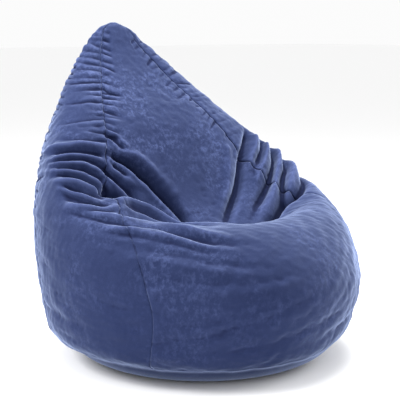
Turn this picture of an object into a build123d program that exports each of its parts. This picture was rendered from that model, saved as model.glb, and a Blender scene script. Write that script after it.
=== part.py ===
"""Teardrop bean bag chair.

A cover of five gores and a round base is closed by a zip down the centre of the back.
Inside it a second, plain liner with its own zip holds the loose beads.
+Z is up, the floor is Z = 0, the sitter faces -Y, and lengths are in millimetres.
"""
import math
import os
from collections import namedtuple

from build123d import *

os.makedirs("parts", exist_ok=True)

# One hoop round the filled bag.  centre_y is its middle, half_width its reach to either side, front
# and back its reach towards and away from the sitter's feet (ON_ARC ends it on the back's arc).
# side_z, front_z and back_z are the heights it passes through, squareness is 2 for an ellipse and
# more for fuller front corners, and seam_deg is where the two front seams cross it, measured from
# straight ahead.
Hoop = namedtuple("Hoop", "centre_y half_width front back side_z front_z back_z squareness seam_deg")
ON_ARC = None

# Filled shape, from the tip of the backrest down to the base seam.
HOOPS = (
    Hoop(420, 5, 5, 5, 942, 942, 942, 2.0, 45),
    Hoop(414, 54, 16, 20, 925, 928, 918, 2.0, 46),
    Hoop(402, 108, 36, 34, 882, 866, 864, 2.1, 40),
    Hoop(338, 223, 66, ON_ARC, 762, 760, 744, 2.3, 34),
    Hoop(243, 325, 94, ON_ARC, 642, 640, 609, 2.4, 35),
    Hoop(172, 385, 104, ON_ARC, 577, 496, 480, 2.4, 38),
    Hoop(142, 404, 146, ON_ARC, 556, 400, 415, 2.3, 44),
    Hoop(114, 424, 234, ON_ARC, 514, 352, 370, 2.2, 47),
    Hoop(56, 456, 332, ON_ARC, 438, 408, 325, 2.1, 52),
    Hoop(12, 472, 430, ON_ARC, 321, 343, 260, 2.0, 54),
    Hoop(4, 462, 478, ON_ARC, 190, 244, 190, 2.0, 54),
    Hoop(-5, 444, 436, ON_ARC, 92, 118, 122, 2.0, 55),
    Hoop(-12, 420, 413, 430, 66, 74, 76, 2.0, 57),
    Hoop(-20, 385, 385, 385, 50, 50, 50, 2.0, 58),
)
REAR_SEAM_DEG = 110            # seams between the side gores and the back gores
SEAM_GAP = 1.2                 # half the gap left between neighbouring panels

# The middle of the back is one true arc, so the zip slider can travel along it.
BACK_Y = 458                   # rearmost reach of the back
BACK_Z = 480                   # height at which the back reaches furthest
BACK_RADIUS = 1500

# Base: a flat resting patch that turns up to the base seam.
BASE_Y = -20
BASE_FLAT_RADIUS = 285
BASE_SEAM_RADIUS = 385
BASE_TURN_RADIUS = 125
BASE_SEAM_SINE = (BASE_SEAM_RADIUS - BASE_FLAT_RADIUS) / BASE_TURN_RADIUS
BASE_SEAM_COSINE = math.sqrt(1 - BASE_SEAM_SINE ** 2)

TIP_WALL = 2.5                 # level wall of the tiny ring in which the gores meet at the tip

# Depths are measured inwards from the outside of the cover.  Near the tip, where a hoop reaches less
# than FULL_DEPTH_REACH to the front, the layers lie closer together.
FULL_DEPTH_REACH = 66
TIP_DEPTH_SHARE = 0.5
COVER_THICKNESS = 2.5
LINER_DEPTH = 12.0
LINER_THICKNESS = 1.0
FILL_DEPTH = 22.0

# Zip down the middle of the back; cover and liner use the same section.
SLOT_LOW_Z = 270
SLOT_HIGH_Z = 600
SLOT_HALF_WIDTH = 9.0          # the panels are turned back this far from the middle of the zip
TAPE_MARGIN = 6.0              # the tapes run on past both ends of the slot
TAPE_EDGE = 15.0               # outer edge of a tape, from the middle of the zip
TAPE_THICKNESS = 0.8
TAPE_CLEARANCE = 0.6           # between the back of a panel and the tape sewn to it
COIL_GAP = 0.9                 # half the slit between the two coils
COIL_EDGE = 4.1                # outer edge of a coil, from the middle of the zip
COIL_HEIGHT = 2.6
STOP_LENGTH = 4.0
STOP_EDGE = 4.6
END_CLEARANCE = 0.5            # slot to stop, stop to coil, and coil end to slider

# Slider
SLIDER_LENGTH = 16.0
SLIDER_HALF_WIDTH = 6.0
SLIDER_PLATE = 1.6
SLIDER_CLEARANCE = 0.35        # between the plates and the tape and coils
SLIDER_WALL = 1.3
SLIDER_WALL_LENGTH = 11.0
SLIDER_CORNER = 2.0
POST_WIDTH = 1.0               # post of the slider, in the slit between the coils
POST_LENGTH = 5.0

# Bail and pull tab on the cover's slider
PIN_RADIUS = 0.9
PIN_HEIGHT = 3.6               # pin centre above the slider's upper plate
BAIL_HALF_SPAN = 3.2
BAIL_CHEEK = 1.3
BAIL_LENGTH = 3.6
BAIL_TOP = 1.35                # bail above the pin's centre
TAB_CLEARANCE = 0.06           # round the pin
EYE_RADIUS = 2.2
EYE_HALF_WIDTH = 2.7
TAB_WIDTH = 9.0
TAB_LENGTH = 32.0
TAB_THICKNESS = 1.6
TAB_CORNER = 3.0
TAB_NECK = 4.0                 # the eye's narrow stem, before the tab widens
TAB_HOLE_RADIUS = 2.2

SAMPLES = 13                   # points along each hoop of a panel
FILL_SAMPLES = 39              # points round each hoop of the beads
FILL_TURNS = (0.6, 0.25, 0)    # shares of the base's turn at which the beads have a hoop


def back_y(z):
    """Y of the middle of the back at height z."""
    return BACK_Y - BACK_RADIUS + math.sqrt(BACK_RADIUS ** 2 - (z - BACK_Z) ** 2)


def hoop_point(hoop, angle_deg):
    """Point on a hoop; 0 is the front, positive angles turn towards +X."""
    sine = math.sin(math.radians(angle_deg))
    cosine = math.cos(math.radians(angle_deg))
    in_front = cosine >= 0
    power = 2 / hoop.squareness if in_front else 1
    across = math.copysign(abs(sine) ** power, sine)
    along = abs(cosine) ** power
    if in_front:
        y = hoop.centre_y - hoop.front * along
        end_z = hoop.front_z
    else:
        y = hoop.centre_y + hoop_back(hoop) * along
        end_z = hoop.back_z
    z = hoop.side_z + (end_z - hoop.side_z) * cosine ** 2
    return Vector(hoop.half_width * across, y, z)


def hoop_back(hoop):
    """Reach of a hoop to the rear."""
    if hoop.back is ON_ARC:
        return back_y(hoop.back_z) - hoop.centre_y
    return hoop.back


def radial(angle_deg):
    """Level unit vector that points out of the bag at this angle."""
    angle = math.radians(angle_deg)
    return Vector(math.sin(angle), -math.cos(angle), 0)


def outward(level, angle_deg):
    """Unit normal of the filled shape where hoop number level is crossed at this angle."""
    above = hoop_point(HOOPS[level - 1], angle_deg)
    below = hoop_point(HOOPS[level + 1], angle_deg)
    ahead = hoop_point(HOOPS[level], angle_deg + 1)
    behind = hoop_point(HOOPS[level], angle_deg - 1)
    return (below - above).cross(ahead - behind).normalized()


def layer_point(level, angle_deg, depth, thickness=0.0):
    """Point of a layer depth inside the cover; thickness reaches its inner face.

    The first and last hoops stay level, so that the ends of a panel are flat.
    """
    point = hoop_point(HOOPS[level], angle_deg)
    if level == 0:
        drop = Vector(0, 0, depth * TIP_DEPTH_SHARE)
        return point - drop - radial(angle_deg) * min(thickness, TIP_WALL)
    if level == len(HOOPS) - 1:
        inwards = Vector(0, 0, BASE_SEAM_COSINE) - radial(angle_deg) * BASE_SEAM_SINE
        return point + inwards * depth - radial(angle_deg) * (thickness / BASE_SEAM_SINE)
    depth *= min(1, HOOPS[level].front / FULL_DEPTH_REACH)
    return point - outward(level, angle_deg) * (depth + thickness)


def panel_hoop(level, start_deg, end_deg, depth, thickness):
    """Closed outline of a panel's section along one hoop."""
    step = (end_deg - start_deg) / (SAMPLES - 1)
    angles = [start_deg + step * index for index in range(SAMPLES)]
    outer = [layer_point(level, angle, depth) for angle in angles]
    inner = [layer_point(level, angle, depth, thickness) for angle in reversed(angles)]
    return Wire([
        Edge.make_spline(outer),
        Edge.make_line(outer[-1], inner[0]),
        Edge.make_spline(inner),
        Edge.make_line(inner[-1], outer[0]),
    ])


def gap_deg(level, angle_deg):
    """Turn along a hoop that leaves SEAM_GAP beside a seam."""
    one_degree = hoop_point(HOOPS[level], angle_deg + 0.5) - hoop_point(HOOPS[level], angle_deg - 0.5)
    return SEAM_GAP / one_degree.length


def gore(first_seam, last_seam, depth, thickness):
    """Panel between two seams, each given as a function of the hoop that returns its angle."""
    sections = []
    for level, hoop in enumerate(HOOPS):
        first = first_seam(hoop)
        last = last_seam(hoop)
        start = first + gap_deg(level, first)
        end = last - gap_deg(level, last)
        sections.append(panel_hoop(level, start, end, depth, thickness))
    return Solid.make_loft(sections)


def front_seam(hoop):
    return hoop.seam_deg


def right_front_seam(hoop):
    return -hoop.seam_deg


def rear_seam(hoop):
    return REAR_SEAM_DEG


def middle_seam(hoop):
    return 180


def mirrored(solid):
    """The same piece on the sitter's right, which is -X."""
    return mirror(solid, about=Plane.YZ)


def base_panel(depth, thickness):
    """Round base: flat in the middle, turned up along an arc to the base seam."""
    outer_radius = BASE_TURN_RADIUS - depth
    inner_radius = outer_radius - thickness
    seam_z = BASE_TURN_RADIUS - outer_radius * BASE_SEAM_COSINE - SEAM_GAP
    outer_end = arc_end(outer_radius, seam_z)
    inner_end = arc_end(inner_radius, seam_z)
    outer_start = (BASE_FLAT_RADIUS, depth)
    inner_start = (BASE_FLAT_RADIUS, depth + thickness)
    profile = Wire([
        Edge.make_line((0, 0, depth), on_profile(outer_start)),
        Edge.make_tangent_arc(on_profile(outer_start), (1, 0, 0), on_profile(outer_end)),
        Edge.make_line(on_profile(outer_end), on_profile(inner_end)),
        Edge.make_tangent_arc(on_profile(inner_start), (1, 0, 0), on_profile(inner_end)),
        Edge.make_line(on_profile(inner_start), (0, 0, depth + thickness)),
        Edge.make_line((0, 0, depth + thickness), (0, 0, depth)),
    ])
    panel = Solid.revolve(Face(profile), 360, Axis.Z)
    return Pos(0, BASE_Y, 0) * panel


def arc_end(radius, z):
    """Where the base's turned-up arc of this radius reaches height z."""
    rise = BASE_TURN_RADIUS - z
    return (BASE_FLAT_RADIUS + math.sqrt(radius ** 2 - rise ** 2), z)


def on_profile(point):
    return (point[0], 0, point[1])


# Zip pieces follow the back's arc.  Across is X, depth is measured from the outside of the cover,
# and the third place is the angle round the arc's centre.

def zip_angle(z):
    """Angle of height z round the centre of the back's arc, in radians."""
    return math.asin((z - BACK_Z) / BACK_RADIUS)


def arc_turn(length):
    """Angle that a length along the back's arc covers, in radians."""
    return length / BACK_RADIUS


def zip_point(angle, depth):
    """Point in the middle of the back, depth inside the cover."""
    radius = BACK_RADIUS - depth
    return Vector(0, BACK_Y - BACK_RADIUS + radius * math.cos(angle), BACK_Z + radius * math.sin(angle))


def arc_block(x_range, depth_range, angle_range):
    """Block that is bent along the back's arc."""
    low, high = angle_range
    middle = (low + high) / 2
    shallow, deep = depth_range
    outline = Wire([
        Edge.make_three_point_arc(*[zip_point(angle, shallow) for angle in (low, middle, high)]),
        Edge.make_line(zip_point(high, shallow), zip_point(high, deep)),
        Edge.make_three_point_arc(*[zip_point(angle, deep) for angle in (high, middle, low)]),
        Edge.make_line(zip_point(low, deep), zip_point(low, shallow)),
    ])
    left, right = x_range
    return Pos(left, 0, 0) * Solid.extrude(Face(outline), Vector(right - left, 0, 0))


SLOT_ANGLES = (zip_angle(SLOT_LOW_Z), zip_angle(SLOT_HIGH_Z))
STOP_NEAR = arc_turn(END_CLEARANCE)
STOP_FAR = arc_turn(END_CLEARANCE + STOP_LENGTH)
LOW_STOP = (SLOT_ANGLES[0] + STOP_NEAR, SLOT_ANGLES[0] + STOP_FAR)
HIGH_STOP = (SLOT_ANGLES[1] - STOP_FAR, SLOT_ANGLES[1] - STOP_NEAR)
COIL_ANGLES = (LOW_STOP[1] + arc_turn(END_CLEARANCE), HIGH_STOP[0] - arc_turn(END_CLEARANCE))
SLIDER_ANGLE = COIL_ANGLES[0] + arc_turn(SLIDER_LENGTH / 2 + END_CLEARANCE)
SLIDER_TRAVEL = COIL_ANGLES[1] - arc_turn(SLIDER_LENGTH / 2 + END_CLEARANCE) - SLIDER_ANGLE


def slotted(panel, depth, thickness):
    """Back panel with its edge turned back from the zip."""
    room = SLIDER_PLATE + TAPE_CLEARANCE
    slot = arc_block(
        (-SLOT_HALF_WIDTH, SLOT_HALF_WIDTH), (depth - room, depth + thickness + room), SLOT_ANGLES
    )
    return panel - slot


def tape_depth(depth, thickness):
    """Outer face of the tapes behind a panel of this depth and thickness."""
    return depth + thickness + TAPE_CLEARANCE


def zip_tape(tape_top):
    margin = arc_turn(TAPE_MARGIN)
    return arc_block(
        (COIL_GAP, TAPE_EDGE),
        (tape_top, tape_top + TAPE_THICKNESS),
        (SLOT_ANGLES[0] - margin, SLOT_ANGLES[1] + margin),
    )


def zip_coil(tape_top):
    return arc_block((COIL_GAP, COIL_EDGE), (tape_top - COIL_HEIGHT, tape_top), COIL_ANGLES)


def low_stop(tape_top):
    """Box stop that joins both tapes at the closed end."""
    return arc_block((-STOP_EDGE, STOP_EDGE), (tape_top - COIL_HEIGHT, tape_top), LOW_STOP)


def high_stops(tape_top):
    """A clamp on each tape at the open end."""
    clamp = arc_block((COIL_GAP, STOP_EDGE), (tape_top - COIL_HEIGHT, tape_top), HIGH_STOP)
    return Compound([clamp, mirrored(clamp)])


def zip_out():
    """Unit vector out of the bag at the parked slider."""
    return Vector(0, math.cos(SLIDER_ANGLE), math.sin(SLIDER_ANGLE))


def slider_place(depth):
    """Placement on the parked slider: X across, Y down the zip and Z out of the bag."""
    return Plane(origin=zip_point(SLIDER_ANGLE, depth), x_dir=(1, 0, 0), z_dir=zip_out()).location


def slab(width, length, low, high, shift=0.0):
    """Block centred on the slider, from height low to height high, shifted along X."""
    middle = Pos(shift, 0, (low + high) / 2)
    return middle * Box(width, length, high - low)


def slider_body(tape_top):
    """Two plates, the post between the coils and the two side walls."""
    upper_low = COIL_HEIGHT + SLIDER_CLEARANCE
    lower_high = -TAPE_THICKNESS - SLIDER_CLEARANCE
    width = 2 * SLIDER_HALF_WIDTH
    body = slab(width, SLIDER_LENGTH, upper_low, upper_low + SLIDER_PLATE)
    body = fillet(body.edges().filter_by(Axis.Z), SLIDER_CORNER)
    body += slab(width, SLIDER_LENGTH, lower_high - SLIDER_PLATE, lower_high)
    body += slab(POST_WIDTH, POST_LENGTH, lower_high, upper_low)
    for side in (-1, 1):
        middle = side * (SLIDER_HALF_WIDTH - SLIDER_WALL / 2)
        body += slab(SLIDER_WALL, SLIDER_WALL_LENGTH, SLIDER_CLEARANCE, upper_low, middle)
    return slider_place(tape_top) * body


def pin_height():
    """Height of the bail's pin above the tapes."""
    return COIL_HEIGHT + SLIDER_CLEARANCE + SLIDER_PLATE + PIN_HEIGHT


def bail(tape_top):
    """Arch on the slider that carries the pull tab."""
    low = COIL_HEIGHT + SLIDER_CLEARANCE + SLIDER_PLATE
    high = pin_height() + BAIL_TOP
    arch = Pos(0, 0, pin_height()) * Rot(0, 90, 0) * Cylinder(PIN_RADIUS, 2 * BAIL_HALF_SPAN)
    for side in (-1, 1):
        middle = side * (BAIL_HALF_SPAN + BAIL_CHEEK / 2)
        arch += slab(BAIL_CHEEK, BAIL_LENGTH, low, high, middle)
    return slider_place(tape_top) * arch


def tab_pin(tape_top):
    """Centre of the bail's pin."""
    return slider_place(tape_top).position + zip_out() * pin_height()


def pull_tab(tape_top):
    """Tab that hangs straight down from the pin."""
    eye = Rot(0, 90, 0) * Cylinder(EYE_RADIUS, 2 * EYE_HALF_WIDTH)
    stem = Pos(0, 0, -TAB_NECK) * Box(2 * EYE_HALF_WIDTH, TAB_THICKNESS, 2 * TAB_NECK)
    blade_length = TAB_LENGTH - TAB_NECK
    blade = Box(TAB_WIDTH, TAB_THICKNESS, blade_length)
    blade = fillet(blade.edges().filter_by(Axis.Y), TAB_CORNER)
    hole = Rot(90, 0, 0) * Cylinder(TAB_HOLE_RADIUS, 2 * TAB_THICKNESS)
    blade -= Pos(0, 0, -blade_length / 2 + TAB_WIDTH / 2) * hole
    tab = eye + stem + Pos(0, 0, -TAB_NECK - blade_length / 2) * blade
    tab -= Rot(0, 90, 0) * Cylinder(PIN_RADIUS + TAB_CLEARANCE, 4 * EYE_HALF_WIDTH)
    return Pos(*tab_pin(tape_top)) * tab


def bead_fill():
    """The loose beads as one body inside the liner."""
    angles = [360 * index / FILL_SAMPLES for index in range(FILL_SAMPLES)]
    hoops = []
    for level in range(len(HOOPS)):
        hoops.append([layer_point(level, angle, FILL_DEPTH) for angle in angles])
    turn_radius = BASE_TURN_RADIUS - FILL_DEPTH
    for share in FILL_TURNS:
        turn = math.asin(BASE_SEAM_SINE) * share
        reach = BASE_FLAT_RADIUS + turn_radius * math.sin(turn)
        middle = Vector(0, BASE_Y, BASE_TURN_RADIUS - turn_radius * math.cos(turn))
        hoops.append([middle + radial(angle) * reach for angle in angles])
    return Solid.make_loft([Wire([Edge.make_spline(hoop, periodic=True)]) for hoop in hoops])


def add_pair(pieces, name, solid):
    """The piece on the sitter's left (+X) and its mirror image on the right."""
    pieces[name + "_left"] = solid
    pieces[name + "_right"] = mirrored(solid)


def layer(pieces, prefix, depth, thickness):
    """The five gores and the base of the cover or the liner."""
    pieces[prefix + "seat_panel"] = gore(right_front_seam, front_seam, depth, thickness)
    add_pair(pieces, prefix + "side_panel", gore(front_seam, rear_seam, depth, thickness))
    back = slotted(gore(rear_seam, middle_seam, depth, thickness), depth, thickness)
    add_pair(pieces, prefix + "back_panel", back)
    pieces[prefix + "base_panel"] = base_panel(depth, thickness)


def zip_set(pieces, prefix, depth, thickness):
    """Tapes, coils and stops behind a layer's back panels; returns the tapes' depth."""
    tape_top = tape_depth(depth, thickness)
    add_pair(pieces, prefix + "zip_tape", zip_tape(tape_top))
    add_pair(pieces, prefix + "zip_coil", zip_coil(tape_top))
    pieces[prefix + "zip_low_stop"] = low_stop(tape_top)
    pieces[prefix + "zip_high_stops"] = high_stops(tape_top)
    return tape_top


def build():
    pieces = {}
    layer(pieces, "cover_", 0, COVER_THICKNESS)
    cover_tape = zip_set(pieces, "cover_", 0, COVER_THICKNESS)
    pieces["cover_zip_slider"] = slider_body(cover_tape) + bail(cover_tape)
    pieces["cover_zip_pull_tab"] = pull_tab(cover_tape)
    layer(pieces, "liner_", LINER_DEPTH, LINER_THICKNESS)
    liner_tape = zip_set(pieces, "liner_", LINER_DEPTH, LINER_THICKNESS)
    pieces["liner_zip_slider"] = slider_body(liner_tape)
    pieces["bead_fill"] = bead_fill()
    return pieces


for name, piece in build().items():
    export_step(piece, f"parts/{name}.step")
print("zip arc centre", (0, BACK_Y - BACK_RADIUS, BACK_Z), "travel", math.degrees(SLIDER_TRAVEL))
print("pull tab pin", tuple(tab_pin(tape_depth(0, COVER_THICKNESS))))
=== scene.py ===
"""Looks of the bean bag chair: a slack microsuede cover over loose beads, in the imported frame."""
import math
from collections import namedtuple

import bpy
import numpy as np
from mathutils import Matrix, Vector


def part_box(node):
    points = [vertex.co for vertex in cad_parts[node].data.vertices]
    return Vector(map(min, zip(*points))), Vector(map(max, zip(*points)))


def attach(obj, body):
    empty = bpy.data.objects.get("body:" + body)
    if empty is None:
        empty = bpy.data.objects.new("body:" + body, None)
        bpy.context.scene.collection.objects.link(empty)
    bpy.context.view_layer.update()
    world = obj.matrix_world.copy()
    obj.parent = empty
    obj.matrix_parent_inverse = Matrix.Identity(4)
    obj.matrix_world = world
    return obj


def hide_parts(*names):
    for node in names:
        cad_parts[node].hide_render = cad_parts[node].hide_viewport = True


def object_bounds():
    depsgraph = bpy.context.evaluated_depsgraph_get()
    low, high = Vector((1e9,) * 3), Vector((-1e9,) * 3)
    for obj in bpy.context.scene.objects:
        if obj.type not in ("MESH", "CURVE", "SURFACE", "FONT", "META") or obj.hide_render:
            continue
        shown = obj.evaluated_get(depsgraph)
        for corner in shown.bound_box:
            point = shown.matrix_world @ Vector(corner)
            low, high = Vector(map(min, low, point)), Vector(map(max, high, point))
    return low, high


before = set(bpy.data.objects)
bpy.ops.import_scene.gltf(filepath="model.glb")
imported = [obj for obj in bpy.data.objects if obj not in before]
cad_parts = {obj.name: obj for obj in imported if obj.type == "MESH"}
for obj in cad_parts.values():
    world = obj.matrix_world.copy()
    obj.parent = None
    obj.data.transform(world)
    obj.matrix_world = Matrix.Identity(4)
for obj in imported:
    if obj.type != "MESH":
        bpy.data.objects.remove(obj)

SEED = 7
CAD_LOW, CAD_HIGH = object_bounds()
rng = np.random.default_rng(SEED)

# Filled shape, as the CAD part has it: hoops round the bag from the tip down to the base seam.
# Columns: share of the way down, middle y, half width, reach to the front and to the back,
# height at the sides, front and back, squareness of the front corners, and the front seams' angle.
# Lengths are in the part's millimetres, and MM scales them so that the tip meets the frame's top.
# Most of the rows were fitted to the photographed outline by a helper program, not chosen by hand.
BACK_Y, BACK_Z, BACK_RADIUS = 458, 480, 1500
HOOPS = (
    (0.00, 420, 5, 5, 5, 942, 942, 942, 2.0, 45),
    (0.03, 414, 54, 16, 20, 925, 928, 918, 2.0, 46),
    (0.08, 402, 108, 36, 34, 882, 866, 864, 2.1, 40),
    (0.17, 338, 223, 66, None, 762, 760, 744, 2.3, 34),
    (0.28, 243, 325, 94, None, 642, 640, 609, 2.4, 35),
    (0.40, 172, 385, 104, None, 577, 496, 480, 2.4, 38),
    (0.47, 142, 404, 146, None, 556, 400, 415, 2.3, 44),
    (0.53, 114, 424, 234, None, 514, 352, 370, 2.2, 47),
    (0.60, 56, 456, 332, None, 438, 408, 325, 2.1, 52),
    (0.70, 12, 472, 430, None, 321, 343, 260, 2.0, 54),
    (0.80, 4, 462, 478, None, 190, 244, 190, 2.0, 54),
    (0.90, -5, 444, 436, None, 92, 118, 122, 2.0, 55),
    (0.95, -12, 420, 413, 430, 66, 74, 76, 2.0, 57),
    (1.00, -20, 385, 385, 385, 50, 50, 50, 2.0, 58),
)
MM = (CAD_HIGH.z - CAD_LOW.z) / HOOPS[0][5]
REAR_SEAM = 110         # angle of the two rear seams from the front
BASE_Y = HOOPS[-1][1]
BASE_SEAM = HOOPS[-1][2]
BASE_FLAT = 285         # radius of the flat patch that the bag rests on
BASE_TURN = 125         # radius of the turn from that patch up to the base seam

# Grid of the cover: columns across each gore, and rows from the tip to the base seam
SEAT_COLUMNS = 92
SIDE_COLUMNS = 40
BACK_COLUMNS = 44
ROWS = 176
FINER = 2               # points of the fine grid for each of the coarse one, both ways

# Depths inside the cover, and the zip's slot down the middle of the back
LINER_DEPTH = 12
LINER_THICKNESS = 1
FILL_DEPTH = 22
FULL_DEPTH_REACH = 66   # front reach of a hoop from which the inner layers lie at their full depth
SLOT_LOW, SLOT_HIGH = 270, 600
SLOT_HALF_WIDTH = 9
SLOT_EASE = 30          # how far from the slot its edges' turning back has died away by two thirds
SLOT_END = 8            # height of the slot's rounded ends
NORMAL_ROUNDS = 2       # rounds of averaging before a surface's normals are taken


def back_reach(height):
    """Y of the middle of the back at this height."""
    return BACK_Y - BACK_RADIUS + np.sqrt(BACK_RADIUS ** 2 - (height - BACK_Z) ** 2)


def hoop_columns():
    """The hoops as an array, with the reach to the back worked out where the back is an arc."""
    table = np.array([[np.nan if v is None else v for v in hoop] for hoop in HOOPS], float)
    on_arc = np.isnan(table[:, 4])
    table[on_arc, 4] = back_reach(table[on_arc, 7]) - table[on_arc, 1]
    return table


def monotone(knots, values, at):
    """Smooth curve through the values that never overshoots them."""
    step = np.diff(knots)
    slope = np.diff(values) / step
    tangent = np.zeros(len(values))
    same = slope[:-1] * slope[1:] > 0
    w1 = 2 * step[1:] + step[:-1]
    w2 = step[1:] + 2 * step[:-1]
    with np.errstate(divide="ignore", invalid="ignore"):
        inner = (w1 + w2) / (w1 / slope[:-1] + w2 / slope[1:])
    tangent[1:-1] = np.where(same, inner, 0)
    tangent[0], tangent[-1] = slope[0], slope[-1]
    k = np.clip(np.searchsorted(knots, at) - 1, 0, len(step) - 1)
    h = step[k]
    t = (at - knots[k]) / h
    return ((1 + 2 * t) * (1 - t) ** 2 * values[k] + t * (1 - t) ** 2 * h * tangent[k]
            + t * t * (3 - 2 * t) * values[k + 1] + t * t * (t - 1) * h * tangent[k + 1])


TABLE = hoop_columns()


def hoop_value(column, share):
    """One column of the hoops at any share of the way down."""
    return monotone(TABLE[:, 0], TABLE[:, column], share)


def front_seam(share):
    """Angle of the two front seams from the front."""
    return hoop_value(9, share)


def bag_point(angle, share):
    """Points of the filled shape, in metres; 0 degrees is the front and +X is on the positive side."""
    middle, half, front, back, side_z, front_z, back_z, square = [
        hoop_value(column, share) for column in range(1, 9)
    ]
    sine, cosine = np.sin(np.radians(angle)), np.cos(np.radians(angle))
    ahead = cosine >= 0
    power = np.where(ahead, 2 / square, 1)
    x = half * np.sign(sine) * np.abs(sine) ** power
    along = np.abs(cosine) ** power
    y = np.where(ahead, middle - front * along, middle + back * along)
    z = side_z + (np.where(ahead, front_z, back_z) - side_z) * cosine ** 2
    return np.stack([x, y, z], -1) * MM


# Gores in order round the bag: name, start and end seam as functions of the share, columns
GORES = (
    ("cover_back_panel_right", lambda s: s * 0 - 180, lambda s: s * 0 - REAR_SEAM, BACK_COLUMNS),
    ("cover_side_panel_right", lambda s: s * 0 - REAR_SEAM, lambda s: -front_seam(s), SIDE_COLUMNS),
    ("cover_seat_panel", lambda s: -front_seam(s), front_seam, SEAT_COLUMNS),
    ("cover_side_panel_left", front_seam, lambda s: s * 0 + REAR_SEAM, SIDE_COLUMNS),
    ("cover_back_panel_left", lambda s: s * 0 + REAR_SEAM, lambda s: s * 0 + 180, BACK_COLUMNS),
)


def angle_grid(shares):
    """Angle of every grid point, and the first column of each gore."""
    parts, starts, count = [], [], 0
    for _, start, end, columns in GORES:
        across = np.arange(columns) / columns
        first, last = start(shares)[:, None], end(shares)[:, None]
        parts.append(first + (last - first) * across)
        starts.append(count)
        count += columns
    return np.concatenate(parts, 1), starts


def normals_of(grid):
    """Unit outward normals of a grid that closes on itself across its columns."""
    across = np.roll(grid, -1, 1) - np.roll(grid, 1, 1)
    down = np.gradient(grid, axis=0)
    normal = np.cross(down, across)
    length = np.linalg.norm(normal, axis=-1, keepdims=True)
    return normal / np.maximum(length, 1e-12)


def outward_of(grid):
    """Outward normals of a closed grid, as they are without its smallest bumps."""
    return normals_of(smoothed(grid, NORMAL_ROUNDS))


def rows_beside(field):
    """The row above each row and the row below it; the first and last rows stand in beyond the ends."""
    return np.concatenate([field[:1], field[:-1]]), np.concatenate([field[1:], field[-1:]])


def smoothed(field, rounds):
    """Field averaged with its neighbours, closed across its columns."""
    for _ in range(rounds):
        field = (np.roll(field, 1, 1) + np.roll(field, -1, 1) + 2 * field) / 4
        above, below = rows_beside(field)
        field = (above + below + 2 * field) / 4
    return field


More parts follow.
